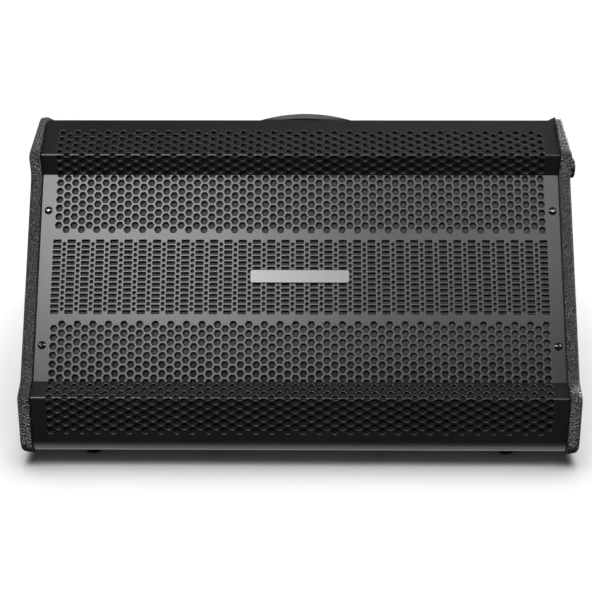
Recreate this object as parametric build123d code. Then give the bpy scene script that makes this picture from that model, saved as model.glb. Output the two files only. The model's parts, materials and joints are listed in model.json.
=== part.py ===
from build123d import *
import math
import os

# Stage monitor wedge. Millimetres, +Z up, front towards -Y, X across the width.
# The origin is on the floor, in the middle of the overall width and depth.

# Cabinet profile, walked from the top of the front lip: (length, direction in degrees).
LIP_HEIGHT = 17.1
LOWER_FACE = (52.7, 77.2)
LOWER_STEP = (22.9, 19.1)
MAIN_FACE = (239.5, 48.3)
UPPER_STEP = (24.9, 91.4)
UPPER_FACE = (57.0, 22.3)
REAR_SLOPE = -27.0
BODY_DEPTH = 465.0
FOOT_HEIGHT = 11.0

# Widths, as half-widths from the middle.
CAP_OUTER = 310.8
CAP_INNER = 297.0
SIDE_INNER = 282.0
GRILLE_HALF = 295.6
CAP_PROUD = 4.0
CAP_PROUD_BELOW = 1.6
CAP_CORNER = 14.0
CAP_EDGE = 6.0
CAP_DRAFT = 8.0
SHOULDER_UP = 275.0
SHOULDER_TILT = 12.5
SHOULDER_EDGE = 3.0
LIP_BACK = 24.0

# Sheet, foam and board thicknesses, measured in from the profile.
GRILLE_SHEET = 1.5
FOAM_FRONT = 1.8
FOAM_BACK = 4.8
SIDE_PANEL_INSET = 3.5
RAIL_INSET = 6.0
BAFFLE_FRONT = 20.0
BAFFLE_BACK = 35.0
PANEL = 12.0
FIT_GAP = 0.3

# Drivers on the main face: x across, t up the face from its lower fold.
WOOFER_X = 170.0
WOOFER_T = 119.75
FLANGE_RADIUS = 105.0
WOOFER_SCREWS = 8
WOOFER_SCREW_CIRCLE = 99.5
HORN_T = 110.0
HORN_FLANGE = (118.0, 130.0)
HORN_MOUTH = (100.0, 112.0)
PORT_X = 30.0
PORT_T = 200.0
BADGE_SIZE = (112.0, 15.0, 1.2)
GRILLE_SCREW_X = 288.0
GRILLE_SCREW_T = (40.4, 196.8)

# Level knob, feet, handle and connector plate.
KNOB_BACK, KNOB_UP = 245.0, 241.0
KNOB_RADIUS = 12.0
KNOB_HEIGHT = 14.7
SHAFT_RADIUS = 3.0
BUSHING_RADIUS = 4.5
CONTROL_RADIUS = 12.0
FOOT_RADIUS = 11.0
FOOT_X = 234.0
FOOT_BACK = (27.0, 440.0)
LIP_SCREW_X = 93.0
LIP_SCREW_BACK = 16.5
STRAP_HALF_SPAN = 106.0
STRAP_RISE = 21.1
STRAP_TAB = 34.0
STRAP_WIDTH = 28.0
STRAP_THICKNESS = 6.0
STRAP_FILLET = 60.0
STRAP_LIFT = 5.0
HANDLE_FROM_REAR = 43.0
HANDLE_X = 5.8
COVER_X = 142.0
HANDLE_SCREW_X = 154.0
DISH_SIZE = (130.0, 80.0, 35.0)
DISH_FLANGE = 2.0
DISH_WALL = 2.5
DISH_Z = 86.0
SOCKET_X = 34.0

os.makedirs("parts", exist_ok=True)


def direction(degrees):
    angle = math.radians(degrees)
    return math.cos(angle), math.sin(angle)


def walk_profile():
    """Corners of the profile as (back, up), from the bottom front round to the bottom rear."""
    points = [(0.0, 0.0), (0.0, LIP_HEIGHT)]
    for length, degrees in (LOWER_FACE, LOWER_STEP, MAIN_FACE, UPPER_STEP, UPPER_FACE):
        along, up = direction(degrees)
        back, height = points[-1]
        points.append((back + length * along, height + length * up))
    back, height = points[-1]
    rear_height = height + (BODY_DEPTH - back) * math.tan(math.radians(REAR_SLOPE))
    points.append((BODY_DEPTH, rear_height))
    points.append((BODY_DEPTH, 0.0))
    return points


PROFILE = walk_profile()
LIP, LOWER, STEP_LOW, MAIN, STEP_HIGH, UPPER, SLOPE, REAR, BOTTOM = range(9)


def edge_line(edge, inset):
    """A point on a profile edge moved in by inset, and the edge's direction."""
    start = PROFILE[edge]
    end = PROFILE[(edge + 1) % len(PROFILE)]
    length = math.dist(start, end)
    along = ((end[0] - start[0]) / length, (end[1] - start[1]) / length)
    inward = (along[1], -along[0])
    return (start[0] + inset * inward[0], start[1] + inset * inward[1]), along


def corner(edge_a, inset_a, edge_b, inset_b):
    """Where two profile edges meet once each is moved in by its own inset."""
    (ax, ay), (ux, uy) = edge_line(edge_a, inset_a)
    (bx, by), (vx, vy) = edge_line(edge_b, inset_b)
    travel = ((bx - ax) * vy - (by - ay) * vx) / (ux * vy - uy * vx)
    return ax + travel * ux, ay + travel * uy


def on_face(edge, along, inset):
    """A point at a distance along a profile edge and an inset behind it."""
    (px, py), (ux, uy) = edge_line(edge, inset)
    return px + along * ux, py + along * uy


BACK_OFFSET = BODY_DEPTH / 2


def place(back, up):
    """Profile coordinates to the part's own Y and Z."""
    return back - BACK_OFFSET, up + FOOT_HEIGHT


def slab(points, x_low, x_high):
    """A profile outline extruded across the width from x_low to x_high."""
    plane = Plane(origin=(x_low, 0, 0), x_dir=(0, 1, 0), z_dir=(1, 0, 0))
    outline = Polyline(*[place(*p) for p in points], close=True)
    return extrude(plane * make_face(outline), x_high - x_low)


def across(points, half_width):
    return slab(points, -half_width, half_width)


def face_plane(edge, x, along, inset=0.0):
    """A plane on a profile edge: local x across, y up the face, z straight out of it."""
    back, up = on_face(edge, along, inset)
    y, z = place(back, up)
    _, (ux, uy) = edge_line(edge, 0)
    return Plane(origin=(x, y, z), x_dir=(1, 0, 0), z_dir=(0, -uy, ux))


def ring(outer, inner, low, high):
    body = Pos(0, 0, (low + high) / 2) * Cylinder(outer, high - low)
    return body - Pos(0, 0, (low + high) / 2) * Cylinder(inner, high - low)


def turned(points):
    """A closed (radius, height) outline turned about the local Z axis."""
    outline = Polyline(*points, close=True)
    return revolve(Plane.XZ * make_face(outline), Axis.Z)


def button_screw(head_radius, head_height, shank_radius, shank_length):
    """A domed screw: the head's underside is at local z = 0, the shank goes down."""
    bulge = (head_radius ** 2 + head_height ** 2) / (2 * head_height)
    dome = Pos(0, 0, head_height - bulge) * Sphere(bulge)
    head = dome & Pos(0, 0, head_height / 2) * Cylinder(head_radius, head_height)
    head -= Pos(0, 0, head_height) * extrude(RegularPolygon(head_radius * 0.36, 6), -head_height * 0.6)
    return head + Pos(0, 0, -shank_length / 2) * Cylinder(shank_radius, shank_length)


# The level knob stands out on one side only, so everything moves over by half of what it adds.
WIDTH_OFFSET = (FIT_GAP + KNOB_HEIGHT) / 2


def save(name, *solids):
    solids = [Pos(-WIDTH_OFFSET, 0, 0) * solid for solid in solids]
    shape = solids[0] if len(solids) == 1 else Compound(children=solids)
    shape.label = name
    export_step(shape, f"parts/{name}.step")


# ---------------------------------------------------------------- cabinet boards

def make_bottom_panel():
    front = LIP_BACK + FIT_GAP
    panel = across([(front, 0), (front, PANEL), (BODY_DEPTH, PANEL), (BODY_DEPTH, 0)], SIDE_INNER)
    for x in (-FOOT_X, FOOT_X):
        for back in FOOT_BACK:
            y, z = place(back, 0)
            panel -= Pos(x, y, z) * Cylinder(2.2, 20)
    save("bottom_panel", panel)


def make_rear_panel():
    top_outer = corner(SLOPE, PANEL, REAR, 0)
    top_inner = corner(SLOPE, PANEL, REAR, PANEL)
    points = [(BODY_DEPTH, PANEL), (BODY_DEPTH - PANEL, PANEL), top_inner, top_outer]
    panel = across(points, SIDE_INNER)
    y, z = place(BODY_DEPTH - PANEL / 2, DISH_Z)
    panel -= Pos(0, y, z) * Box(DISH_SIZE[0], PANEL * 2, DISH_SIZE[1])
    for x, z_screw in dish_screw_points():
        panel -= Pos(x, y, z_screw) * Rot(90, 0, 0) * Cylinder(1.7, 20)
    save("rear_panel", panel)


def make_rear_top_panel():
    points = [on_face(SLOPE, 2.5, 0), PROFILE[REAR], corner(SLOPE, PANEL, REAR, 0), on_face(SLOPE, 2.5, PANEL)]
    panel = across(points, SIDE_INNER)
    for side in (-1, 1):
        panel -= handle_plane() * Pos(side * HANDLE_SCREW_X, 0, 0) * Cylinder(2.5, 8)
    save("rear_top_panel", panel)


def make_front_rail():
    over_lip = LIP_HEIGHT + FIT_GAP
    start = corner(LOWER, RAIL_INSET, BOTTOM, over_lip)
    foot = on_face(MAIN, -12, BAFFLE_FRONT)
    points = [start, corner(LOWER, RAIL_INSET, STEP_LOW, RAIL_INSET)]
    points += [corner(STEP_LOW, RAIL_INSET, MAIN, BAFFLE_FRONT), foot]
    points += [(foot[0], PANEL), (LIP_BACK + FIT_GAP, PANEL), (LIP_BACK + FIT_GAP, over_lip)]
    rail = across(points, SIDE_INNER)
    for side in (-1, 1):
        rail -= face_plane(MAIN, side * WOOFER_X, WOOFER_T, BAFFLE_FRONT) * Cylinder(FLANGE_RADIUS + 0.5, 30)
    save("front_rail", rail)


def horn_screw_points():
    half_x, half_y = HORN_FLANGE[0] / 2 - 4.5, HORN_FLANGE[1] / 2 - 4.5
    return [(x, y) for x in (-half_x, half_x) for y in (-half_y, half_y)]


def baffle_top():
    """How far up the main face the baffle reaches, under the top rail."""
    front = corner(MAIN, BAFFLE_FRONT, STEP_HIGH, RAIL_INSET)
    return math.dist(on_face(MAIN, 0, BAFFLE_FRONT), front)


def make_top_rail():
    points = [on_face(MAIN, baffle_top(), BAFFLE_FRONT), corner(STEP_HIGH, RAIL_INSET, UPPER, RAIL_INSET)]
    points += [corner(UPPER, RAIL_INSET, SLOPE, PANEL), on_face(MAIN, baffle_top(), BAFFLE_BACK)]
    save("top_rail", across(points, SIDE_INNER))


def make_baffle():
    low, high = -12.0, baffle_top()
    points = [on_face(MAIN, t, d) for t, d in ((low, BAFFLE_FRONT), (high, BAFFLE_FRONT),
                                               (high, BAFFLE_BACK), (low, BAFFLE_BACK))]
    board = across(points, SIDE_INNER)
    for side in (-1, 1):
        woofer_plane = face_plane(MAIN, side * WOOFER_X, WOOFER_T)
        board -= woofer_plane * Pos(0, 0, -BAFFLE_BACK) * Cylinder(93.5, 60)
        for spot in woofer_screw_spots():
            board -= woofer_plane * spot * Pos(0, 0, -BAFFLE_FRONT) * Cylinder(2.2, 40)
        board -= face_plane(MAIN, side * PORT_X, PORT_T, BAFFLE_BACK) * Cylinder(17.0, 60)
    board -= face_plane(MAIN, 0, HORN_T, BAFFLE_BACK) * Box(HORN_MOUTH[0] + 6, HORN_MOUTH[1] + 6, 60)
    for x, y in horn_screw_points():
        board -= face_plane(MAIN, 0, HORN_T) * Pos(x, y, -BAFFLE_FRONT) * Cylinder(2.0, 40)
    save("baffle_board", board)


def side_outline():
    front, over_lip = LIP_BACK + FIT_GAP, LIP_HEIGHT + FIT_GAP
    points = [(front, 0), (front, over_lip), corner(LOWER, SIDE_PANEL_INSET, BOTTOM, over_lip)]
    inset = SIDE_PANEL_INSET
    for edge in (LOWER, STEP_LOW, MAIN, STEP_HIGH):
        points.append(corner(edge, inset, edge + 1, inset))
    points += [corner(UPPER, inset, SLOPE, 0), PROFILE[REAR], PROFILE[BOTTOM]]
    return points


def knob_point(x):
    return (x, *place(KNOB_BACK, KNOB_UP))


def make_side_panel(side, name):
    panel = slab(side_outline(), *sorted((side * SIDE_INNER, side * CAP_INNER)))
    if side > 0:
        panel -= Pos(*knob_point(SIDE_INNER)) * Rot(0, 90, 0) * Cylinder(BUSHING_RADIUS, 60)
    for t in GRILLE_SCREW_T:
        panel -= face_plane(MAIN, side * GRILLE_SCREW_X, t) * Cylinder(2.5, 32)
    save(f"side_panel_{name}", panel)


def make_end_cap(side, name):
    proud = {edge: -CAP_PROUD for edge in range(9)}
    proud[BOTTOM] = -CAP_PROUD_BELOW
    points = []
    for edge in range(9):
        before = (edge - 1) % 9
        points.append(place(*corner(before, proud[before], edge, proud[edge])))
    outline = make_face(Polyline(*reversed(points), close=True))
    outline = fillet(outline.vertices(), CAP_CORNER)
    cap = extrude(outline, CAP_OUTER - CAP_INNER, taper=CAP_DRAFT)
    cap = fillet(cap.faces().sort_by(Axis.Z)[-1].edges(), CAP_EDGE)
    cap = Plane(origin=(CAP_INNER, 0, 0), x_dir=(0, 1, 0), z_dir=(1, 0, 0)) * cap
    _, shoulder = place(0, SHOULDER_UP)
    cap -= Pos(CAP_OUTER, 0, shoulder) * Rot(0, -SHOULDER_TILT, 0) * Pos(50, 0, 50) * Box(100, 600, 100)
    tilted = cap.faces().sort_by(lambda face: abs(face.normal_at().Z - math.sin(math.radians(SHOULDER_TILT))))
    cap = fillet(tilted[0].edges(), SHOULDER_EDGE)
    if side > 0:
        cap -= Pos(*knob_point(CAP_INNER)) * Rot(0, 90, 0) * Cylinder(BUSHING_RADIUS, 60)
    else:
        cap = mirror(cap, about=Plane.YZ)
    save(f"end_cap_{name}", cap)


def make_front_lip():
    """A strip under the grille that carries on its slope and rolls under to the floor side."""
    radius = LIP_HEIGHT / (1 + direction(LOWER_FACE[1])[0])
    centre, _ = edge_line(LOWER, radius)
    top = PROFILE[LOWER]
    middle = (centre[0] - radius * math.cos(math.pi / 4), centre[1] - radius * math.sin(math.pi / 4))
    points = [place(*p) for p in (top, middle, (centre[0], 0), (LIP_BACK, 0), (LIP_BACK, LIP_HEIGHT))]
    edges = [ThreePointArc(*points[:3]), Polyline(*points[2:], points[0])]
    plane = Plane(origin=(-GRILLE_HALF, 0, 0), x_dir=(0, 1, 0), z_dir=(1, 0, 0))
    lip = extrude(plane * make_face(edges), 2 * GRILLE_HALF)
    for side in (-1, 1):
        y, z = place(LIP_SCREW_BACK, 0)
        lip -= Pos(side * LIP_SCREW_X, y, z) * Cylinder(2.0, 20.2)
    save("front_lip", lip)


# ---------------------------------------------------------------- grille and badge

def folded_band(front, back, start_up, end_inset):
    """A strip that follows every front fold between two insets."""
    outer = [corner(LOWER, front, BOTTOM, start_up)]
    inner = [corner(LOWER, back, BOTTOM, start_up)]
    for edge in (LOWER, STEP_LOW, MAIN, STEP_HIGH):
        outer.append(corner(edge, front, edge + 1, front))
        inner.append(corner(edge, back, edge + 1, back))
    outer.append(corner(UPPER, front, SLOPE, end_inset))
    inner.append(corner(UPPER, back, SLOPE, end_inset))
    return outer + inner[::-1]


def make_grille():
    sheet = across(folded_band(0, GRILLE_SHEET, LIP_HEIGHT + FIT_GAP, 0), GRILLE_HALF)
    for side in (-1, 1):
        for t in GRILLE_SCREW_T:
            sheet -= face_plane(MAIN, side * GRILLE_SCREW_X, t) * Cylinder(2.7, 8)
    save("grille", sheet)


def make_grille_foam():
    foam = folded_band(FOAM_FRONT, FOAM_BACK, LIP_HEIGHT + 1.5, PANEL + FIT_GAP)
    save("grille_foam", across(foam, SIDE_INNER - FIT_GAP))


def make_grille_screws():
    screws = []
    for side in (-1, 1):
        for t in GRILLE_SCREW_T:
            screws.append(face_plane(MAIN, side * GRILLE_SCREW_X, t) * button_screw(4.75, 2.6, 2.5, 15.5))
    save("grille_screws", *screws)


def make_nameplate():
    """A plain plate with no lettering, in the middle of the main face."""
    length, height, thickness = BADGE_SIZE
    plate = extrude(RectangleRounded(length, height, 2.5), thickness)
    plate = chamfer(plate.faces().sort_by(Axis.Z)[-1].edges(), 0.4)
    save("nameplate", face_plane(MAIN, 0, MAIN_FACE[0] / 2) * plate)


# ---------------------------------------------------------------- woofers

CONE_OUTER, CONE_NECK, CONE_TOP, CONE_BOTTOM = 82.0, 19.8, -20.0, -68.0


def woofer_screw_spots():
    step = 360 / WOOFER_SCREWS
    return [Rot(0, 0, step * (i + 0.5)) * Pos(WOOFER_SCREW_CIRCLE, 0, 0) for i in range(WOOFER_SCREWS)]


def woofer_solids():
    """One eight-inch driver about local Z, with the main face at local z = 0."""
    basket = turned([(FLANGE_RADIUS, -20), (FLANGE_RADIUS, -15.5), (93, -15.5), (89, -22), (50, -72), (28, -72),
                     (28, -76), (53, -76), (92.5, -25), (92.5, -20)])
    for index in range(6):
        basket -= Rot(0, 0, 30 + 60 * index) * Pos(72, 0, -47) * Rot(0, 90, 0) * Cylinder(14, 60)
    for spot in woofer_screw_spots():
        basket -= spot * Pos(0, 0, -18) * Cylinder(2.3, 10)
    magnet = ring(50, 26, -102, -84)
    top_plate = ring(46, 21, -84, -76)
    yoke = turned([(0, -110), (46, -110), (46, -102), (17.5, -102), (17.5, -77), (0, -77)])
    coil = ring(19.7, 19.1, -96, CONE_BOTTOM + 2)
    slope = (CONE_TOP - CONE_BOTTOM) / (CONE_OUTER - CONE_NECK)
    cone = turned([(CONE_NECK, CONE_BOTTOM), (CONE_OUTER, CONE_TOP), (CONE_OUTER, CONE_TOP + 1.3),
                   (CONE_NECK, CONE_BOTTOM + 1.3)])
    cap_radius, cap_rise = 29.0, 9.0
    base = CONE_BOTTOM + 1.3 + slope * (cap_radius - CONE_NECK)
    bulge = (cap_radius ** 2 + cap_rise ** 2) / (2 * cap_rise)
    dome = Pos(0, 0, base + cap_rise - bulge) * (Sphere(bulge) - Sphere(bulge - 0.8))
    dust_cap = dome & Pos(0, 0, base + 30) * Cylinder(60, 60)
    roll = Plane.XZ * (Pos(87.5, -15.4) * (Circle(5.6) - Circle(4.6)))
    roll &= Plane.XZ * (Pos(87.5, -10.4) * Rectangle(20, 10))
    surround = revolve(roll, Axis.Z) + ring(95, 92.1, -15.5, -14.4)
    spider = ring(49.5, 19.9, -71.9, -71.0)
    screws = [spot * Pos(0, 0, -15.5) * button_screw(4.2, 2.4, 2.2, 18) for spot in woofer_screw_spots()]
    return {"woofer_basket": [basket], "woofer_magnet": [magnet], "woofer_yoke": [yoke, top_plate],
            "voice_coil": [coil], "woofer_cone": [cone], "dust_cap": [dust_cap],
            "woofer_surround": [surround], "woofer_spider": [spider], "screws": screws}


def make_woofers():
    screws = []
    for side, name in ((-1, "left"), (1, "right")):
        plane = face_plane(MAIN, side * WOOFER_X, WOOFER_T)
        for node, solids in woofer_solids().items():
            placed = [plane * solid for solid in solids]
            if node == "screws":
                screws += placed
            else:
                save(f"{node}_{name}", *placed)
    save("woofer_screws", *screws)


# ---------------------------------------------------------------- horn and ports

def make_horn():
    plane = face_plane(MAIN, 0, HORN_T)
    flange = Pos(0, 0, -17.5) * Box(*HORN_FLANGE, 5)
    outer = loft([Plane.XY.offset(-20) * RectangleRounded(HORN_MOUTH[0] + 5, HORN_MOUTH[1] + 5, 14),
                  Plane.XY.offset(-80) * Circle(17)])
    inner = loft([Plane.XY.offset(-14.9) * RectangleRounded(*HORN_MOUTH, 12),
                  Plane.XY.offset(-80.1) * Circle(12.7)])
    horn = (flange + outer) - inner
    screws = []
    for x, y in horn_screw_points():
        horn -= Pos(x, y, -17.5) * Cylinder(2.1, 12)
        screws.append(plane * (Pos(x, y, -15) * button_screw(3.6, 2.2, 2.0, 18)))
    save("horn_flare", plane * horn)
    save("horn_screws", *screws)
    driver = Pos(0, 0, -101) * Cylinder(42, 42)
    driver = fillet(driver.edges().sort_by(Axis.Z)[0], 6)
    driver += Pos(0, 0, -126) * Cylinder(30, 8)
    save("compression_driver", plane * driver)


def make_ports():
    tubes = []
    for side in (-1, 1):
        tube = ring(17.0, 15.0, -105, -19.9) + ring(21.0, 15.0, -20, -18.2)
        tubes.append(face_plane(MAIN, side * PORT_X, PORT_T) * tube)
    save("port_tubes", *tubes)


# ---------------------------------------------------------------- crossover, brace, wadding

CROSSOVER_BACK = 300.0


def make_crossover():
    y, z = place(CROSSOVER_BACK, PANEL)
    save("crossover_board", Pos(0, y, z + 8.8) * Box(180, 110, 1.6))
    posts = [Pos(x, y + dy, z + 4) * Cylinder(4, 8) for x in (-82, 82) for dy in (-48, 48)]
    save("crossover_posts", *posts)
    top = z + 9.6
    coils = [Pos(x, y - 14, top) * ring(21, 9, 0, 22) for x in (-60, -5)]
    save("crossover_coils", *coils)
    cans = [Pos(x, y + 34, top + 9) * Rot(0, 90, 0) * Cylinder(9, 34) for x in (-60, -20, 20)]
    save("crossover_capacitors", *cans)
    resistors = [Pos(40 + 18 * i, y - 10, top + 5) * Box(10, 48, 10) for i in range(2)]
    save("crossover_resistors", *resistors)


def make_brace():
    front, back = 372.0, 384.0
    base = PANEL
    slope = math.tan(math.radians(REAR_SLOPE))
    height = corner(SLOPE, PANEL, REAR, 0)[1]
    points = [(front, base), (front, height + (front - BODY_DEPTH) * slope),
              (back, height + (back - BODY_DEPTH) * slope), (back, base)]
    brace = across(points, SIDE_INNER)
    y, z = place((front + back) / 2, 100)
    for side in (-1, 1):
        brace -= Pos(side * 140, y, z) * Box(220, 40, 110)
    save("brace", brace)


def make_wadding():
    y, z = place(BODY_DEPTH - PANEL - 13, 92)
    pads = [Pos(side * 178, y, z) * Box(190, 24, 140) for side in (-1, 1)]
    save("damping_wadding", *pads)


# ---------------------------------------------------------------- rear connector dish

def dish_screw_points():
    _, z = place(0, DISH_Z)
    half_x, half_z = DISH_SIZE[0] / 2 + 6, DISH_SIZE[1] / 2 + 6
    return [(x, z + dz) for x in (-half_x, half_x) for dz in (-half_z, half_z)]


def make_connector_dish():
    width, height, depth = DISH_SIZE
    y, z = place(BODY_DEPTH, DISH_Z)
    dish = Pos(0, y + DISH_FLANGE / 2, z) * Box(width + 24, DISH_FLANGE, height + 24)
    dish += Pos(0, y - depth / 2, z) * Box(width, depth, height)
    floor_y = y - depth + DISH_WALL
    dish -= Pos(0, floor_y + depth / 2, z) * Box(width - 2 * DISH_WALL, depth, height - 2 * DISH_WALL)
    for side in (-1, 1):
        dish -= Pos(side * SOCKET_X, floor_y, z) * Rot(90, 0, 0) * Cylinder(13.0, 20)
    dish -= Pos(0, floor_y, z) * Box(20, 12, 10)
    screws = []
    for x, z_screw in dish_screw_points():
        dish -= Pos(x, y, z_screw) * Rot(90, 0, 0) * Cylinder(1.8, 20)
        place_screw = Pos(x, y + DISH_FLANGE, z_screw) * Rot(-90, 0, 0)
        screws.append(place_screw * button_screw(3.4, 1.8, 1.7, 12))
    save("connector_dish", dish)
    save("dish_screws", *screws)
    for side, name in ((-1, "input"), (1, "link")):
        socket = Pos(0, 0, 1.5) * Box(30, 34, 3) + Pos(0, 0, -9) * Cylinder(13.0, 18)
        socket -= Pos(0, 0, -5) * Cylinder(11.0, 18)
        socket += Pos(0, 0, -7.5) * Cylinder(4.0, 15)
        save(f"socket_{name}", Pos(side * SOCKET_X, floor_y, z) * Rot(-90, 0, 0) * socket)
    bezel = Box(26, 3, 16) - Box(15, 8, 6.4)
    bezel += Pos(0, -9, 0) * (Box(19.6, 15, 9.6) - Pos(0, 2, 0) * Box(15, 15, 6.4))
    save("switch_bezel", Pos(0, floor_y + 1.5, z) * bezel)
    lever = Box(7, 12, 6.2)
    save("mode_switch", Pos(-3.6, floor_y + 0.5, z) * fillet(lever.faces().sort_by(Axis.Y)[-1].edges(), 0.8))


# ---------------------------------------------------------------- handle, knobs, feet

def strap_edge(offset):
    """The strap's long outline, offset from its middle line, from end to end."""
    reach = (STRAP_HALF_SPAN ** 2 + STRAP_RISE ** 2) / (2 * STRAP_RISE)
    turn = math.degrees(math.asin(STRAP_HALF_SPAN / reach))
    arch = reach - STRAP_FILLET
    start = (-STRAP_HALF_SPAN - STRAP_TAB, offset)
    lead_in = Line(start, (-STRAP_HALF_SPAN, offset))
    rising = JernArc(lead_in @ 1, (1, 0), STRAP_FILLET - offset, turn)
    crown = JernArc(rising @ 1, rising % 1, arch + offset, -2 * turn)
    falling = JernArc(crown @ 1, crown % 1, STRAP_FILLET - offset, turn)
    lead_out = Line(falling @ 1, (STRAP_HALF_SPAN + STRAP_TAB, offset))
    return [lead_in, rising, crown, falling, lead_out]


def handle_plane():
    length = math.dist(PROFILE[SLOPE], PROFILE[REAR])
    return face_plane(SLOPE, HANDLE_X, length - HANDLE_FROM_REAR)


def make_handle():
    plane = handle_plane()
    half = STRAP_THICKNESS / 2
    upper = strap_edge(half)
    lower = strap_edge(-half)
    ends = [Line(upper[0] @ 0, lower[0] @ 0), Line(upper[-1] @ 1, lower[-1] @ 1)]
    outline = make_face(Wire(upper + lower + ends))
    strap = extrude(Plane(origin=(0, STRAP_WIDTH / 2, half + FIT_GAP), x_dir=(1, 0, 0), z_dir=(0, -1, 0))
                    * outline, STRAP_WIDTH)
    save("handle_strap", plane * strap)
    covers, screws = [], []
    cavity = STRAP_THICKNESS + STRAP_LIFT + 2 * FIT_GAP + 1.0
    for side in (-1, 1):
        cover = Pos(side * COVER_X, 0, 8.5) * Box(50, 38, 17)
        cover = fillet(cover.edges().filter_by(Axis.Z), 6)
        cover = fillet(cover.faces().sort_by(Axis.Z)[-1].edges(), 3.5)
        cover -= Pos(side * (COVER_X - 30.5), 0, cavity / 2) * Box(60, STRAP_WIDTH + 2, cavity)
        cover -= Pos(side * HANDLE_SCREW_X, 0, 0) * Cylinder(2.6, 60)
        covers.append(plane * cover)
        screws.append(plane * (Pos(side * HANDLE_SCREW_X, 0, 17) * button_screw(4.75, 2.6, 2.5, 20)))
    save("handle_covers", *covers)
    save("handle_screws", *screws)


def make_level_control():
    """The level knob on the right-hand cap, and the rotary control behind it."""
    knob = Pos(0, 0, KNOB_HEIGHT / 2) * Cylinder(KNOB_RADIUS, KNOB_HEIGHT)
    knob = fillet(knob.edges().sort_by(Axis.Z)[-1], 2.0)
    for index in range(12):
        knob -= Rot(0, 0, 30 * index) * Pos(KNOB_RADIUS + 1.2, 0, 9.5) * Cylinder(2.0, 14)
    knob -= Pos(0, 0, KNOB_HEIGHT) * Box(1.2, KNOB_RADIUS * 1.2, 1.2)
    knob += Pos(0, 0, -12) * Cylinder(SHAFT_RADIUS, 24)
    panel_depth = CAP_OUTER + FIT_GAP - SIDE_INNER
    control = ring(BUSHING_RADIUS, SHAFT_RADIUS + 0.05, -panel_depth, -2.0)
    control += Pos(0, 0, -panel_depth - 7) * Cylinder(CONTROL_RADIUS, 14)
    base = Pos(*knob_point(CAP_OUTER + FIT_GAP)) * Rot(0, 90, 0)
    save("level_knob", base * knob)
    save("level_control", base * control)


def make_feet():
    feet, screws = [], []
    for x in (-FOOT_X, FOOT_X):
        for back in FOOT_BACK:
            y, _ = place(back, 0)
            foot = Pos(x, y, FOOT_HEIGHT / 2) * Cylinder(FOOT_RADIUS, FOOT_HEIGHT)
            foot = chamfer(foot.edges().sort_by(Axis.Z)[0], 1.2)
            foot -= Pos(x, y, 2.5) * Cylinder(5.0, 5)
            foot -= Pos(x, y, 5) * Cylinder(2.2, 20)
            feet.append(foot)
            screws.append(Pos(x, y, 5) * Rot(180, 0, 0) * button_screw(4.2, 2.4, 2.2, 15))
    save("rubber_feet", *feet)
    save("foot_screws", *screws)


def make_lip_screws():
    screws = []
    for side in (-1, 1):
        y, z = place(LIP_SCREW_BACK, 0)
        screws.append(Pos(side * LIP_SCREW_X, y, z) * Rot(180, 0, 0) * button_screw(5.0, 2.8, 2.0, 10))
    save("lip_screws", *screws)


make_bottom_panel()
make_rear_panel()
make_rear_top_panel()
make_front_rail()
make_top_rail()
make_baffle()
for SIDE, NAME in ((-1, "left"), (1, "right")):
    make_side_panel(SIDE, NAME)
    make_end_cap(SIDE, NAME)
make_level_control()
make_front_lip()
make_grille()
make_grille_foam()
make_grille_screws()
make_nameplate()
make_woofers()
make_horn()
make_ports()
make_crossover()
make_brace()
make_wadding()
make_connector_dish()
make_handle()
make_feet()
make_lip_screws()
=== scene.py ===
import json
import math

import bpy
import numpy as np
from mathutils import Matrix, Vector, geometry
from mathutils import noise as solid_noise


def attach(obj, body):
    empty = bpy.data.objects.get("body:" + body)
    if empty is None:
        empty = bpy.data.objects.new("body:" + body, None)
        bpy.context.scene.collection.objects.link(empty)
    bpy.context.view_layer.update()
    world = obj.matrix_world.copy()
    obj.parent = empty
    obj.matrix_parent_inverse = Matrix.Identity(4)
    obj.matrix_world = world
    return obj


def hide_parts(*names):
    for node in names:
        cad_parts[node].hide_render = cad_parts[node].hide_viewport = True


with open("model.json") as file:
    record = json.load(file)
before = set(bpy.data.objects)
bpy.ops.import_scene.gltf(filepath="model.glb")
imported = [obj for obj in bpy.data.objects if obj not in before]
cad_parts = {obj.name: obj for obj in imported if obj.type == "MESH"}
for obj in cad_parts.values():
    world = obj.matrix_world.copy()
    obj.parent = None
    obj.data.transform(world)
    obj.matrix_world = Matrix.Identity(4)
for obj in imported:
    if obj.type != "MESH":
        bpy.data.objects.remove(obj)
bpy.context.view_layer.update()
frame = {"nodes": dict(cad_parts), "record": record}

MM = 0.001

# The front profile in millimetres, as the CAD has it: (length, direction in degrees), going up from the lip.
LIP_HEIGHT = 17.1
LOWER_FACE = (52.7, 77.2)
LOWER_STEP = (22.9, 19.1)
MAIN_FACE = (239.5, 48.3)
UPPER_STEP = (24.9, 91.4)
UPPER_FACE = (57.0, 22.3)
BODY_DEPTH = 465.0
FOOT_HEIGHT = 11.0
BACK_OFFSET = BODY_DEPTH / 2
GRILLE_HALF = 295.6
GRILLE_SHEET = 1.5
FOAM_BACK = 4.7
MIDDLE = -7.5
RIDGE_BEND = 3.4
VALLEY_BEND = 0.8
BEND_STEPS = 10


# ---------------------------------------------------------------- the folded front surface

def unit(degrees):
    angle = math.radians(degrees)
    return np.array((math.cos(angle), math.sin(angle)))


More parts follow.
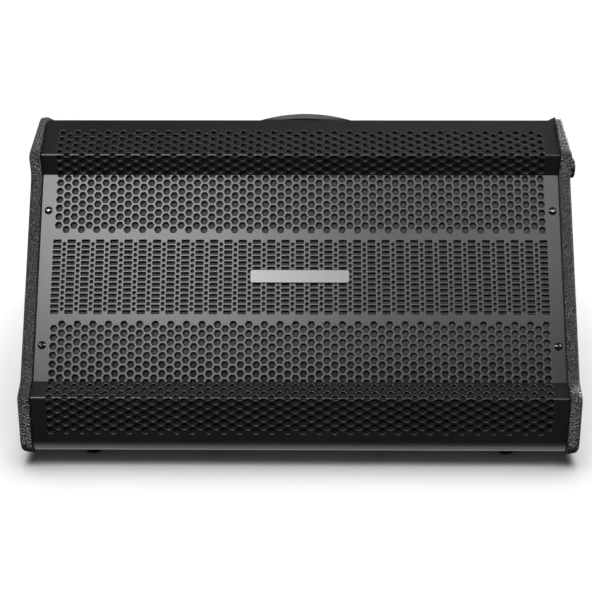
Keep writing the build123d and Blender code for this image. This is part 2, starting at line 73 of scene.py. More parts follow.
class FoldedFront:
    """The grille's outer surface, unrolled: t runs up the sheet from the main face's lower fold."""

    def __init__(self):
        faces = (LOWER_FACE, LOWER_STEP, MAIN_FACE, UPPER_STEP, UPPER_FACE)
        t = -(LOWER_FACE[0] + LOWER_STEP[0])
        point = np.array((0.0, LIP_HEIGHT))
        self.low = t
        self.segments = []
        for length, degrees in faces:
            self.segments.append((t, point, degrees))
            t += length
            point = point + length * unit(degrees)
        self.high = t
        self.bends = []
        for before, after in zip(self.segments, self.segments[1:]):
            turn = math.radians(after[2] - before[2])
            radius = RIDGE_BEND if turn < 0 else VALLEY_BEND
            reach = radius * math.tan(abs(turn) / 2)
            self.bends.append((after[0], after[1], before[2], turn, radius, reach))

    def bend_lines(self):
        """Where the sheet is cut across so that the folds come out round."""
        return [t + reach * (2 * i / BEND_STEPS - 1)
                for t, _, _, _, _, reach in self.bends for i in range(BEND_STEPS + 1)]

    def at(self, t):
        """(point, direction up the sheet) at t, both as (back, up)."""
        for fold, corner, degrees, turn, radius, reach in self.bends:
            if abs(t - fold) <= reach:
                angle = turn * (t - fold + reach) / (2 * reach)
                along = unit(degrees)
                left = np.array((-along[1], along[0]))
                start = corner - reach * along
                side = math.copysign(1.0, turn)
                point = start + radius * (math.sin(abs(angle)) * along + side * (1 - math.cos(angle)) * left)
                return point, unit(degrees + math.degrees(angle))
        for start, corner, degrees in reversed(self.segments):
            if t >= start:
                break
        return corner + (t - start) * unit(degrees), unit(degrees)

    def place(self, x, t, depth):
        """A point behind the surface, in the row frame, in metres."""
        (back, up), (along_back, along_up) = self.at(t)
        back += depth * along_up
        up -= depth * along_back
        return (x + MIDDLE) * MM, (back - BACK_OFFSET) * MM, (up + FOOT_HEIGHT) * MM

    def vectors(self, t):
        """(outward normal, direction up the sheet) in the row frame."""
        _, (along_back, along_up) = self.at(t)
        return Vector((0, -along_up, along_back)), Vector((0, along_back, along_up))


FRONT = FoldedFront()


# ---------------------------------------------------------------- hole patterns

HEX_COLUMNS = 64
HEX_ROWS = 13
HEX_SPACING = 8.755
HEX_PITCH = HEX_SPACING * 2 / math.sqrt(3)
HEX_ACROSS = 8.6
HEX_CORNER = 1.9
UPPER_BAND_EVEN, UPPER_BAND_ODD = 179.4, 174.35
LOWER_BAND_EVEN, LOWER_BAND_ODD = 59.35, 64.4
SLOT_COLUMNS = 35
SLOT_ROWS = 14
SLOT_SPACING = 16.25
SLOT_PITCH = 6.29
SLOT_LOW = 78.4
SLOT_SIZE = (10.3, 5.2)
SLOT_CORNER = 1.6
SMALL_HOLE = 5.3
SCREW_HOLE = 5.4
SCREW_X = 288.0
SCREW_T = (40.4, 196.8)
PLAIN_BANDS = (71.5, 167.2)


def rounded_loop(corners, radius, steps):
    """Points round a convex outline, given anticlockwise, with each corner rounded."""
    points = []
    count = len(corners)
    for i in range(count):
        here = np.array(corners[i], float)
        before = np.array(corners[i - 1], float) - here
        after = np.array(corners[(i + 1) % count], float) - here
        before /= np.linalg.norm(before)
        after /= np.linalg.norm(after)
        half = math.acos(float(np.clip(before @ after, -1, 1))) / 2
        centre = here + (before + after) / np.linalg.norm(before + after) * radius / math.sin(half)
        start = here + before * radius / math.tan(half) - centre
        sweep = math.pi - 2 * half
        for k in range(steps):
            angle = sweep * k / (steps - 1)
            turn = np.array(((math.cos(angle), -math.sin(angle)), (math.sin(angle), math.cos(angle))))
            points.append(centre + turn @ start)
    return points


def hex_hole():
    outer = HEX_ACROSS / math.sqrt(3)
    corners = [(outer * math.cos(math.pi * k / 3), outer * math.sin(math.pi * k / 3)) for k in range(6)]
    return rounded_loop(corners, HEX_CORNER, 3)


def slot_hole():
    x, y = SLOT_SIZE[0] / 2, SLOT_SIZE[1] / 2
    return rounded_loop([(x, y), (-x, y), (-x, -y), (x, -y)], SLOT_CORNER, 4)


def round_hole(diameter, sides=12):
    radius = diameter / 2
    return [np.array((radius * math.cos(2 * math.pi * k / sides), radius * math.sin(2 * math.pi * k / sides)))
            for k in range(sides)]


def hex_centres(even_start, odd_start, direction):
    for column in range(HEX_COLUMNS):
        x = (column - (HEX_COLUMNS - 1) / 2) * HEX_SPACING
        start = odd_start if column % 2 else even_start
        for row in range(HEX_ROWS):
            yield np.array((x, start + direction * row * HEX_PITCH))


def slot_centres(between):
    """Centres of the slots (0) or of the small holes between them (1)."""
    for column in range(between, 2 * SLOT_COLUMNS - 1, 2):
        x = (column - (SLOT_COLUMNS - 1)) * SLOT_SPACING / 2
        for row in range(SLOT_ROWS - between):
            yield np.array((x, SLOT_LOW + (row + 0.5 * between) * SLOT_PITCH))


HEX_BANDS = ((LOWER_BAND_EVEN, LOWER_BAND_ODD, -1), (UPPER_BAND_EVEN, UPPER_BAND_ODD, 1))


def repeated(hole, centres):
    return [[centre + p for p in hole] for centre in centres]


def screw_holes(t):
    return [[np.array((side * SCREW_X, t)) + p for p in round_hole(SCREW_HOLE)] for side in (-1, 1)]


# ---------------------------------------------------------------- perforated sheet

RIM_RADIUS = 1.1
RIM_STEPS = 3
RIM_ROLLS = [math.pi / 2 * k / RIM_STEPS for k in range(RIM_STEPS + 1)] + [math.pi / 2]
RIM = [(RIM_RADIUS * math.sin(roll), RIM_RADIUS * (1 - math.cos(roll))) for roll in RIM_ROLLS[:-1]]
RIM.append((RIM_RADIUS, GRILLE_SHEET))
TINY = 1e-9
MERGE = 1e-6
EDGE_SLACK = 1e-4
SHARPEST_MITRE = 0.5


def strip_outline(half, low, high):
    """(points, edges) of an unrolled strip, with a line across wherever the folds need one."""
    points = [Vector(p) for p in ((-half, low), (half, low), (half, high), (-half, high))]
    edges = [(0, 1), (1, 2), (2, 3), (3, 0)]
    for t in FRONT.bend_lines():
        if low < t < high:
            edges.append((len(points), len(points) + 1))
            points += [Vector((-half, t)), Vector((half, t))]
    return points, edges


def cut_sheet(loops, low, high):
    """Triangulates the unrolled sheet between two heights, with the holes left out."""
    points, edges = strip_outline(GRILLE_HALF, low, high)
    faces = []
    for loop in loops:
        first = len(points)
        points += [Vector(p) for p in loop]
        faces.append(list(range(first, first + len(loop))))
    out = geometry.delaunay_2d_cdt(points, edges, faces, 0, MERGE, True)
    flat = np.array([(p.x, p.y) for p in out[0]])
    kept = [tuple(f) for f, inside in zip(out[2], out[5]) if not inside]
    return flat, kept


def twice_area(flat, triangle):
    a, b, c = (flat[v] for v in triangle)
    return (b[0] - a[0]) * (c[1] - a[1]) - (b[1] - a[1]) * (c[0] - a[0])


def border_edges(triangles):
    """Directed edges that belong to one triangle only."""
    directed = {(f[i], f[(i + 1) % 3]) for f in triangles for i in range(3)}
    return [(a, b) for a, b in directed if (b, a) not in directed]


def rim_directions(flat, border, low, high):
    """For each border vertex, the unit direction into the hole and how far a mitred rim reaches; 0 at the rims
    of the sheet itself, which stay square."""
    outward = {}
    for a, b in border:
        step = flat[b] - flat[a]
        normal = np.array((step[1], -step[0])) / max(np.linalg.norm(step), TINY)
        for v in (a, b):
            outward.setdefault(v, []).append(normal)
    half = GRILLE_HALF - EDGE_SLACK
    aim = {}
    for v, normals in outward.items():
        total = sum(normals)
        total = total / max(np.linalg.norm(total), TINY)
        x, t = flat[v]
        edge = abs(x) > half or min(t - low, high - t) < EDGE_SLACK
        aim[v] = (total, 0.0 if edge else 1.0 / max(SHARPEST_MITRE, float(total @ normals[0])))
    return aim


def sheet_mesh(name, loops, low, high):
    """A closed solid of folded sheet, with softly rolled hole rims and exact surface normals."""
    flat, triangles = cut_sheet(loops, low, high)
    triangles = [f if twice_area(flat, f) > 0 else f[::-1] for f in triangles]
    border = border_edges(triangles)
    aim = rim_directions(flat, border, low, high)
    vertices, normals = [], []

    def add(x, t, depth, across=None, roll=0.0):
        face_normal, up = FRONT.vectors(t)
        vertices.append(FRONT.place(x, t, depth))
        normal = face_normal
        if across is not None:
            side = Vector((across[0], 0, 0)) + float(across[1]) * up
            normal = (math.cos(roll) * face_normal + math.sin(roll) * side).normalized()
        normals.append(normal)
        return len(vertices) - 1

    front = [add(x, t, 0.0) for x, t in flat]
    back = []
    for v, (x, t) in enumerate(flat):
        shift, scale = aim.get(v, (np.zeros(2), 0.0))
        grow = RIM[-1][0] * scale
        back.append(add(x + shift[0] * grow, t + shift[1] * grow, GRILLE_SHEET))
    rings = {}
    for v, (shift, scale) in aim.items():
        x, t = flat[v]
        ring = []
        for (grow, depth), roll in zip(RIM, RIM_ROLLS):
            ring.append(add(x + shift[0] * grow * scale, t + shift[1] * grow * scale, depth, shift, roll))
        rings[v] = ring
    faces, corner_normals = [], []

    def face(indices, flip=False):
        faces.append(indices)
        corner_normals.extend([-normals[i] if flip else normals[i] for i in indices])

    for f in triangles:
        face([front[i] for i in f])
        face([back[i] for i in reversed(f)], flip=True)
    for a, b in border:
        for k in range(len(RIM) - 1):
            face([rings[b][k], rings[a][k], rings[a][k + 1], rings[b][k + 1]])
    mesh = bpy.data.meshes.new(name)
    mesh.from_pydata(vertices, [], faces)
    mesh.polygons.foreach_set("use_smooth", [True] * len(faces))
    mesh.normals_split_custom_set([tuple(n) for n in corner_normals])
    mesh.update()
    return add_object(name, mesh)


def add_object(name, mesh):
    piece = bpy.data.objects.new(name, mesh)
    bpy.context.scene.collection.objects.link(piece)
    return piece


# ---------------------------------------------------------------- materials

def new_material(name):
    material = bpy.data.materials.new(name)
    material.use_nodes = True
    nodes = material.node_tree.nodes
    nodes.clear()
    output = nodes.new("ShaderNodeOutputMaterial")
    shader = nodes.new("ShaderNodeBsdfPrincipled")
    material.node_tree.links.new(shader.outputs[0], output.inputs["Surface"])
    return material, shader


def link(material, a, b):
    material.node_tree.links.new(a, b)


def coordinates(material, stretch=(1, 1, 1)):
    nodes = material.node_tree.nodes
    source = nodes.new("ShaderNodeTexCoord")
    mapping = nodes.new("ShaderNodeMapping")
    mapping.inputs["Scale"].default_value = stretch
    link(material, source.outputs["Object"], mapping.inputs["Vector"])
    return mapping.outputs["Vector"]


def noise(material, vector, scale, detail=3.0, roughness=0.55):
    node = material.node_tree.nodes.new("ShaderNodeTexNoise")
    node.inputs["Scale"].default_value = scale
    node.inputs["Detail"].default_value = detail
    node.inputs["Roughness"].default_value = roughness
    link(material, vector, node.inputs["Vector"])
    return node.outputs["Fac"]


def cells(material, vector, scale, feature="F1"):
    node = material.node_tree.nodes.new("ShaderNodeTexVoronoi")
    node.feature = feature
    node.inputs["Scale"].default_value = scale
    link(material, vector, node.inputs["Vector"])
    return node.outputs["Distance"]


def ramp(material, value, stops):
    node = material.node_tree.nodes.new("ShaderNodeValToRGB")
    elements = node.color_ramp.elements
    while len(elements) < len(stops):
        elements.new(0.5)
    for element, (position, colour) in zip(elements, stops):
        element.position = position
        element.color = (*colour, 1) if len(colour) == 3 else colour
    link(material, value, node.inputs["Fac"])
    return node.outputs["Color"]


def spread(material, value, low, high):
    """Maps a 0 to 1 texture value to a range."""
    node = material.node_tree.nodes.new("ShaderNodeMapRange")
    node.inputs["To Min"].default_value = low
    node.inputs["To Max"].default_value = high
    link(material, value, node.inputs["Value"])
    return node.outputs["Result"]


def bump(material, shader, heights):
    """Chains (height, distance in metres, strength) bumps into the shader's normal."""
    previous = None
    for height, distance, strength in heights:
        node = material.node_tree.nodes.new("ShaderNodeBump")
        node.inputs["Distance"].default_value = distance
        node.inputs["Strength"].default_value = strength
        link(material, height, node.inputs["Height"])
        if previous:
            link(material, previous, node.inputs["Normal"])
        previous = node.outputs["Normal"]
    link(material, previous, shader.inputs["Normal"])


def painted_sheet():
    material, shader = new_material("grille_paint")
    where = coordinates(material)
    mottled = noise(material, where, 900, 4)
    cloudy = noise(material, where, 14, 2)
    link(material, ramp(material, cloudy, [(0.3, (0.0055, 0.0055, 0.0057)), (0.7, (0.0075, 0.0075, 0.0078))]),
         shader.inputs["Base Color"])
    link(material, spread(material, mottled, 0.30, 0.40), shader.inputs["Roughness"])
    shader.inputs["Specular IOR Level"].default_value = 0.35
    bump(material, shader, [(mottled, 0.00003, 0.5)])
    return material


def pebbled_plastic(name="pebbled_plastic", colour=0.021, rough=(0.2, 0.36), scale=540, height=0.0028):
    material, shader = new_material(name)
    where = coordinates(material)
    grain = cells(material, where, scale)
    fine = noise(material, where, 2600, 2)
    patches = noise(material, where, 40, 3)
    dark = colour * 0.75
    stops = [(0.3, (dark, dark, dark * 1.03)), (0.7, (colour, colour, colour * 1.04))]
    link(material, ramp(material, patches, stops), shader.inputs["Base Color"])
    link(material, spread(material, grain, *rough), shader.inputs["Roughness"])
    shader.inputs["Specular IOR Level"].default_value = 0.75
    bump(material, shader, [(grain, height, 0.9), (fine, 0.00003, 0.4)])
    return material


def smooth_plastic(name, colour, rough=(0.3, 0.42), specular=0.4):
    material, shader = new_material(name)
    where = coordinates(material)
    fine = noise(material, where, 1400, 3)
    patches = noise(material, where, 30, 3)
    dark = tuple(0.8 * c for c in colour)
    link(material, ramp(material, patches, [(0.3, dark), (0.7, colour)]), shader.inputs["Base Color"])
    link(material, spread(material, patches, *rough), shader.inputs["Roughness"])
    shader.inputs["Specular IOR Level"].default_value = specular
    bump(material, shader, [(fine, 0.00002, 0.5)])
    return material


def cabinet_paint():
    """Rolled, slightly orange-peeled textured coating with a fine speckle of grit."""
    material, shader = new_material("cabinet_paint")
    where = coordinates(material)
    lumps = cells(material, where, 420)
    grit = noise(material, where, 1500, 3)
    patches = noise(material, where, 9, 3)
    link(material, ramp(material, patches, [(0.3, (0.009, 0.009, 0.0095)), (0.7, (0.014, 0.014, 0.0145))]),
         shader.inputs["Base Color"])
    link(material, spread(material, grit, 0.5, 0.68), shader.inputs["Roughness"])
    bump(material, shader, [(lumps, 0.00028, 0.8), (grit, 0.00006, 0.5)])
    return material


def bare_plywood():
    material, shader = new_material("bare_plywood")
    where = coordinates(material, (1.5, 14, 14))
    grain = noise(material, where, 12, 6, 0.65)
    link(material, ramp(material, grain, [(0.3, (0.42, 0.27, 0.13)), (0.5, (0.58, 0.41, 0.23)),
                                          (0.75, (0.68, 0.51, 0.31))]), shader.inputs["Base Color"])
    link(material, spread(material, grain, 0.55, 0.75), shader.inputs["Roughness"])
    bump(material, shader, [(grain, 0.0001, 0.4)])
    return material


def metal(name, colour, rough, stretch=(1, 1, 1), scale=600, anisotropic=0.0):
    material, shader = new_material(name)
    where = coordinates(material, stretch)
    lines = noise(material, where, scale, 4)
    dark = tuple(0.75 * c for c in colour)
    link(material, ramp(material, lines, [(0.3, dark), (0.7, colour)]), shader.inputs["Base Color"])
    link(material, spread(material, lines, *rough), shader.inputs["Roughness"])
    shader.inputs["Metallic"].default_value = 1.0
    shader.inputs["Anisotropic"].default_value = anisotropic
    bump(material, shader, [(lines, 0.00002, 0.4)])
    return material


# Painted shade on the grille foam: the levels below darken it by height, to 0.45 low down behind the lower
# face and step and to 0.25 high up behind the upper face, standing in for the shade inside the holes there.
# FOAM_TOP is the height that these fractions are of.
FOAM_TOP = 0.32
FOAM_PAINTED_SHADE = ((0.30, 0.45), (0.34, 1.0), (0.88, 1.0), (0.90, 0.25))


def open_foam(name, low, high, scale, painted_shade_levels=((0.0, 1.0),)):
    """Open-cell foam; the shade levels are (height as a fraction of FOAM_TOP, how light the foam is there), a
    painted shade that darkens the foam by height.
    """
    material, shader = new_material(name)
    nodes = material.node_tree.nodes
    where = coordinates(material)
    pores = cells(material, where, scale)
    fine = noise(material, where, 2400, 3)
    height = nodes.new("ShaderNodeSeparateXYZ")
    link(material, coordinates(material, (1, 1, 1 / FOAM_TOP)), height.inputs["Vector"])
    # Painted shade: the foam's colour is multiplied by a level read from its height.
    shade = ramp(material, height.outputs["Z"], [(place, (level, level, level)) for place, level in painted_shade_levels])
    mix = nodes.new("ShaderNodeMixRGB")
    mix.blend_type = "MULTIPLY"
    mix.inputs["Fac"].default_value = 1.0
    link(material, ramp(material, pores, [(0.1, (low, low, low)), (0.6, (high, high, high * 1.02))]),
         mix.inputs["Color1"])
    link(material, shade, mix.inputs["Color2"])
    link(material, mix.outputs["Color"], shader.inputs["Base Color"])
    link(material, spread(material, fine, 0.85, 1.0), shader.inputs["Roughness"])
    shader.inputs["Specular IOR Level"].default_value = 0.1
    bump(material, shader, [(pores, 0.0004, 1.0)])
    return material


def woven(name, colour, scale=700):
    material, shader = new_material(name)
    where = coordinates(material)
    nodes = material.node_tree.nodes
    wave = nodes.new("ShaderNodeTexWave")
    wave.inputs["Scale"].default_value = scale
    wave.inputs["Distortion"].default_value = 1.5
    link(material, where, wave.inputs["Vector"])
    dark = tuple(0.6 * c for c in colour)
    stops = [(0.2, dark), (0.8, colour)]
    link(material, ramp(material, wave.outputs["Fac"], stops), shader.inputs["Base Color"])
    link(material, spread(material, wave.outputs["Fac"], 0.7, 0.9), shader.inputs["Roughness"])
    bump(material, shader, [(wave.outputs["Fac"], 0.0002, 0.6)])
    return material


def ribbed_rubber():
    """Rubber with fine ribs along the strap's length."""
    material, shader = new_material("strap_rubber")
    where = coordinates(material, (0, 1, 0.5))
    wave = material.node_tree.nodes.new("ShaderNodeTexWave")
    wave.bands_direction = "Y"
    wave.inputs["Scale"].default_value = 60
    link(material, where, wave.inputs["Vector"])
    fine = noise(material, coordinates(material), 1400, 3)
    link(material, ramp(material, fine, [(0.3, (0.008, 0.008, 0.0082)), (0.7, (0.012, 0.012, 0.0122))]),
         shader.inputs["Base Color"])
    link(material, spread(material, fine, 0.42, 0.58), shader.inputs["Roughness"])
    shader.inputs["Specular IOR Level"].default_value = 0.35
    bump(material, shader, [(wave.outputs["Fac"], 0.0012, 0.7), (fine, 0.00004, 0.4)])
    return material


def make_materials():
    made = {
        "grille_metal": painted_sheet(),
        "cap_plastic": pebbled_plastic("cap_plastic"),
        "cover_plastic": pebbled_plastic("cover_plastic", scale=900, height=0.0008),
        "knob_plastic": smooth_plastic("knob_plastic", (0.012, 0.012, 0.0125), (0.25, 0.38)),
        "lip_plastic": smooth_plastic("lip_plastic", (0.02, 0.02, 0.021), (0.22, 0.3), 0.9),
        "board_painted": cabinet_paint(),
        "board_raw": bare_plywood(),
        "grille_foam": open_foam("grille_foam", 0.012, 0.052, 1100, FOAM_PAINTED_SHADE),
        "wadding": open_foam("wadding", 0.4, 0.72, 240),
        "black_screws": smooth_plastic("black_screws", (0.006, 0.006, 0.0065), (0.08, 0.14), 0.8),
        "zinc_screws": metal("zinc_screws", (0.55, 0.55, 0.57), (0.25, 0.4)),
        "nameplate_metal": metal("nameplate_metal", (0.10, 0.10, 0.102), (0.3, 0.5), (3, 90, 90), 40),
        "foot_rubber": smooth_plastic("foot_rubber", (0.01, 0.01, 0.01), (0.6, 0.75), 0.25),
        "basket_paint": smooth_plastic("basket_paint", (0.02, 0.02, 0.022), (0.35, 0.5)),
        "ferrite": smooth_plastic("ferrite", (0.04, 0.04, 0.045), (0.5, 0.7)),
        "yoke_steel": metal("yoke_steel", (0.45, 0.45, 0.47), (0.3, 0.45)),
        "cone_paper": woven("cone_paper", (0.03, 0.03, 0.032), 300),
        "coil_former": metal("coil_former", (0.7, 0.62, 0.5), (0.3, 0.45)),
        "surround_rubber": smooth_plastic("surround_rubber", (0.015, 0.015, 0.016), (0.45, 0.6)),
        "spider_cloth": woven("spider_cloth", (0.5, 0.36, 0.16)),
        "horn_plastic": smooth_plastic("horn_plastic", (0.02, 0.02, 0.022)),
        "driver_metal": smooth_plastic("driver_metal", (0.03, 0.03, 0.033), (0.3, 0.45)),
        "circuit_board": smooth_plastic("circuit_board", (0.02, 0.14, 0.05), (0.3, 0.42)),
        "coil_copper": metal("coil_copper", (0.7, 0.35, 0.18), (0.25, 0.4), (1, 1, 8), 500),
        "capacitor_film": smooth_plastic("capacitor_film", (0.7, 0.52, 0.06), (0.2, 0.3)),
        "resistor_ceramic": smooth_plastic("resistor_ceramic", (0.75, 0.73, 0.66), (0.6, 0.8)),
        "dish_plastic": pebbled_plastic("dish_plastic", scale=1000, height=0.0006),
        "socket_plastic": smooth_plastic("socket_plastic", (0.02, 0.02, 0.024), (0.25, 0.38)),
        "switch_plastic": smooth_plastic("switch_plastic", (0.42, 0.42, 0.43), (0.25, 0.35)),
        "strap_rubber": ribbed_rubber(),
        "control_metal": metal("control_metal", (0.5, 0.5, 0.52), (0.2, 0.35)),
    }
    return made


MATERIALS = make_materials()


def dress_nodes():
    for row in frame["record"]["subparts"]:
        node = frame["nodes"][row["node"]]
        node.data.materials.clear()
        node.data.materials.append(MATERIALS[row["material_slot"]])


def finish_piece(piece, body, slot, *replaced):
    piece.data.materials.append(MATERIALS[slot])
    if replaced:
        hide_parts(*replaced)
    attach(piece, body)
    return piece


# ---------------------------------------------------------------- pieces

def make_grille():
    low_cut, high_cut = PLAIN_BANDS
    lower = repeated(hex_hole(), hex_centres(*HEX_BANDS[0])) + screw_holes(SCREW_T[0])
    upper = repeated(hex_hole(), hex_centres(*HEX_BANDS[1])) + screw_holes(SCREW_T[1])
    middle = repeated(slot_hole(), slot_centres(0)) + repeated(round_hole(SMALL_HOLE), slot_centres(1))
    parts = (("grille_lower", lower, FRONT.low, low_cut), ("grille_middle", middle, low_cut, high_cut),
             ("grille_upper", upper, high_cut, FRONT.high))
    for name, loops, low, high in parts:
        finish_piece(sheet_mesh(name, loops, low, high), "cabinet", "grille_metal", "grille")


FOAM_INSET = 1.5
FOAM_HALF = 281.7
FOAM_APEX = 1.9
FOAM_FLANK = 4.3
FOAM_SUNK = 1.7
FOAM_LUMP, FOAM_LUMP_RATE = 0.15, 0.31
HEX_PUFF = 3.1
SLOT_PUFF_TOP = [(-2.6, 0.0), (2.6, 0.0)]
SLOT_PUFF_EDGE = [(-4.2, -1.5), (0.0, -1.7), (4.2, -1.5), (4.2, 1.5), (0.0, 1.7), (-4.2, 1.5)]
SMALL_PUFF = 1.7


def foam_points():
    """(x, t, depth) of the foam's front, which swells a little into every hole."""
    middle = [(0.0, 0.0)]
    groups = [(middle, round_hole(2 * HEX_PUFF, 6), hex_centres(*band)) for band in HEX_BANDS]
    groups += [(SLOT_PUFF_TOP, SLOT_PUFF_EDGE, slot_centres(0))]
    groups += [(middle, round_hole(2 * SMALL_PUFF, 4), slot_centres(1))]
    for tops, flanks, centres in groups:
        for x, t in centres:
            lump = FOAM_LUMP * solid_noise.noise(Vector((x, t, 0)) * FOAM_LUMP_RATE)
            sunk = 0.0 if 0 < t < MAIN_FACE[0] else FOAM_SUNK
            for points, depth in ((tops, FOAM_APEX + sunk + lump), (flanks, FOAM_FLANK)):
                for dx, dt in points:
                    yield x + dx, t + dt, depth


def make_foam():
    """The foam behind the grille: one soft strip that follows the folds."""
    points, edges = strip_outline(FOAM_HALF, FRONT.low + FOAM_INSET, FRONT.high - FOAM_INSET)
    depths = [FOAM_FLANK] * len(points)
    for x, t, depth in foam_points():
        points.append(Vector((x, t)))
        depths.append(depth)
    out = geometry.delaunay_2d_cdt(points, edges, [], 1, MERGE, True)
    flat = [(p.x, p.y) for p in out[0]]
    deep = [depths[source[0]] if source else FOAM_FLANK for source in out[3]]
    triangles = [tuple(f) for f in out[2]]
    count = len(flat)
    vertices = [FRONT.place(x, t, depth) for (x, t), depth in zip(flat, deep)]
    vertices += [FRONT.place(x, t, FOAM_BACK) for x, t in flat]
    faces = triangles + [tuple(v + count for v in reversed(f)) for f in triangles]
    faces += [(b, a, a + count, b + count) for a, b in border_edges(triangles)]
    mesh = bpy.data.meshes.new("foam_lining")
    mesh.from_pydata(vertices, [], faces)
    mesh.polygons.foreach_set("use_smooth", [True] * len(faces))
    mesh.update()
    piece = finish_piece(add_object("foam_lining", mesh), "cabinet", "grille_foam", "grille_foam")


WADDING_VOXEL = 0.006
WADDING_DEPTH = 0.007
WADDING_RATES = (28, 110)


def make_wadding():
    """Loose wadding: each block rounded off and hollowed unevenly, always inside its own block."""
    source = frame["nodes"]["damping_wadding"]
    rough = add_object("wadding_rough", source.data.copy())
    remesh = rough.modifiers.new("remesh", "REMESH")
    remesh.mode = "VOXEL"
    remesh.voxel_size = WADDING_VOXEL
    remesh.use_smooth_shade = True
    smooth = rough.modifiers.new("smooth", "SMOOTH")
    smooth.factor = 0.8
    smooth.iterations = 6
    shaped = rough.evaluated_get(bpy.context.evaluated_depsgraph_get())
    mesh = bpy.data.meshes.new_from_object(shaped)
    mesh.name = "wadding_pads"
    bpy.data.objects.remove(rough)
    mesh.materials.clear()
    normals = [vertex.normal.copy() for vertex in mesh.vertices]
    for vertex, normal in zip(mesh.vertices, normals):
        broad, tuft = (solid_noise.noise(vertex.co * rate) for rate in WADDING_RATES)
        vertex.co -= normal * WADDING_DEPTH * (0.6 + 0.3 * broad + 0.3 * tuft)
    mesh.update()
    piece = finish_piece(add_object("wadding_pads", mesh), "cabinet", "wadding", "damping_wadding")


dress_nodes()
make_grille()
make_foam()
make_wadding()


# ---------------------------------------------------------------- camera, floor and light

CAMERA_ELEVATION = 29.96
CAMERA_YAW = 0.64
CAMERA_ROLL = -0.2
CAMERA_PLACE = (8.4, -1028.7, 798.1)
LENS = 70.24


def make_camera():
    data = bpy.data.cameras.new("camera")
    data.lens = LENS
    data.sensor_width = 36.0
    camera = bpy.data.objects.new("camera", data)
    x, y, z = CAMERA_PLACE
    camera.location = ((x + MIDDLE) * MM, (y - BACK_OFFSET) * MM, (z + FOOT_HEIGHT) * MM)
    camera.rotation_euler = (math.radians(90 - CAMERA_ELEVATION), 0, math.radians(CAMERA_YAW))
    camera.rotation_euler.rotate_axis("Z", math.radians(CAMERA_ROLL))
    bpy.context.scene.collection.objects.link(camera)
    bpy.context.scene.camera = camera
    return camera


FLOOR = ((-2.6, -0.6), (2.6, 2.6))


def make_floor():
    (left, near), (right, far) = FLOOR
    mesh = bpy.data.meshes.new("floor")
    mesh.from_pydata([(left, near, 0), (right, near, 0), (right, far, 0), (left, far, 0)], [], [(0, 1, 2, 3)])
    floor = add_object("floor", mesh)
    material, shader = new_material("floor")
    where = coordinates(material)
    faint = noise(material, where, 3, 2)
    link(material, ramp(material, faint, [(0.3, (0.86, 0.86, 0.86)), (0.7, (0.88, 0.88, 0.88))]),
         shader.inputs["Base Color"])
    shader.inputs["Roughness"].default_value = 0.9
    shader.inputs["Specular IOR Level"].default_value = 0.1
    mesh.materials.append(material)
    floor.visible_glossy = False
    floor.visible_diffuse = False
    return floor


def light_only(light, name, pieces):
    """Keeps a light for some pieces: the object has its own soft boxes, and the floor its own light."""
    group = bpy.data.collections.new(name)
    for piece in pieces:
        group.objects.link(piece)
    light.light_linking.receiver_collection = group


BODY_TARGET = (MIDDLE * MM, -0.1, 0.15)
LIP_TARGET = (MIDDLE * MM, -0.22, 0.015)


def area_light(name, azimuth, elevation, distance, size, power, target=BODY_TARGET):
    """A soft box seen from the object at an azimuth (0 in front, positive to the right) and elevation."""
    data = bpy.data.lights.new(name, "AREA")
    data.shape = "RECTANGLE"
    data.size, data.size_y = size
    data.energy = power
    light = bpy.data.objects.new(name, data)
    a, e = math.radians(azimuth), math.radians(elevation)
    offset = Vector((math.sin(a) * math.cos(e), -math.cos(a) * math.cos(e), math.sin(e))) * distance
    light.location = Vector(target) + offset
    light.rotation_euler = offset.to_track_quat("Z", "Y").to_euler()
    bpy.context.scene.collection.objects.link(light)
    return light


# Floor lights, high behind the object: (azimuth, elevation above the rear horizon, spread, strength).
FLOOR_LIGHTS = ((-30, 63, 46, 1.3), (0, 80, 46, 1.29), (30, 63, 46, 1.3), (0, 96, 70, 0.13))


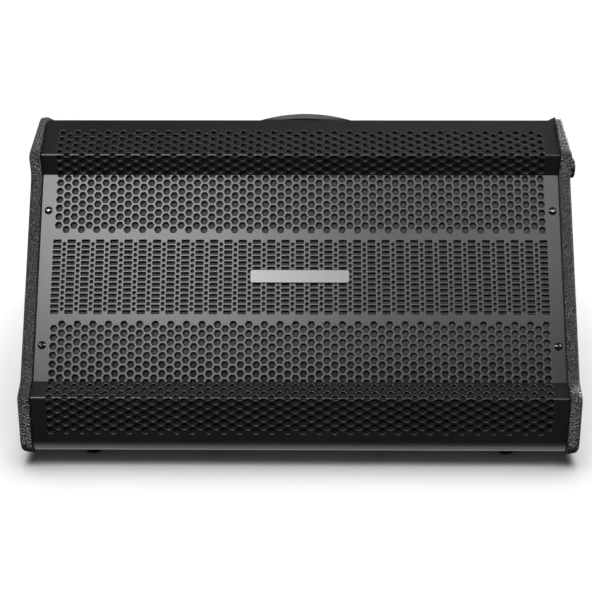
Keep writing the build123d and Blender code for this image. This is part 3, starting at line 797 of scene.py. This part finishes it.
def floor_lights(floor):
    """Broad lights high behind, which leave a soft shadow in front of the lip."""
    for index, (azimuth, elevation, spread_angle, strength) in enumerate(FLOOR_LIGHTS):
        name = f"floor_light_{index + 1}"
        data = bpy.data.lights.new(name, "SUN")
        data.energy = strength
        data.angle = math.radians(spread_angle)
        light = bpy.data.objects.new(name, data)
        light.rotation_euler = (math.radians(elevation - 90), 0, math.radians(azimuth))
        bpy.context.scene.collection.objects.link(light)
        light_only(light, name + "_receivers", [floor])


def lip_glow(lip):
    """The white floor's gleam along the underside of the rolled lip."""
    light = area_light("lip_glow", 0, -80, 0.5, (1.3, 0.9), 2.7, LIP_TARGET)
    light_only(light, "lip_receivers", [lip])
    shadows = bpy.data.collections.new("lip_shadows")
    shadows.objects.link(lip)
    light.light_linking.blocker_collection = shadows


def white_to_camera(strength):
    """A white backdrop that lights the object only faintly."""
    world = bpy.data.worlds.new("studio")
    world.use_nodes = True
    nodes, links = world.node_tree.nodes, world.node_tree.links
    faint = nodes["Background"]
    faint.inputs["Color"].default_value = (1, 1, 1, 1)
    faint.inputs["Strength"].default_value = strength
    white = nodes.new("ShaderNodeBackground")
    white.inputs["Color"].default_value = (1, 1, 1, 1)
    path = nodes.new("ShaderNodeLightPath")
    mix = nodes.new("ShaderNodeMixShader")
    links.new(path.outputs["Is Camera Ray"], mix.inputs["Fac"])
    links.new(faint.outputs[0], mix.inputs[1])
    links.new(white.outputs[0], mix.inputs[2])
    links.new(mix.outputs[0], nodes["World Output"].inputs["Surface"])
    bpy.context.scene.world = world


# Soft boxes for the object: (name, azimuth, elevation, distance, size, power).
SOFT_BOXES = (("key", -29, 57, 2.4, (1.4, 0.7), 72),
              ("key_right", 36, 57, 2.4, (0.7, 0.7), 16),
              ("left", -85, 30, 2.6, (0.8, 1.4), 32),
              ("right", 85, 30, 2.6, (0.8, 1.4), 38),
              ("rear", 165, 35, 2.6, (1.6, 0.9), 24),
              ("rear_low", 150, 9, 2.6, (1.8, 0.6), 60))


def make_lights(floor):
    boxes = [area_light(*row) for row in SOFT_BOXES]
    pieces = [piece for piece in bpy.context.scene.objects if piece.type == "MESH" and piece != floor]
    for box in boxes:
        light_only(box, box.name + "_receivers", pieces)
    lip_glow(frame["nodes"]["front_lip"])
    floor_lights(floor)
    white_to_camera(0.05)
    bpy.context.scene.view_settings.view_transform = "Standard"


make_camera()
make_lights(make_floor())
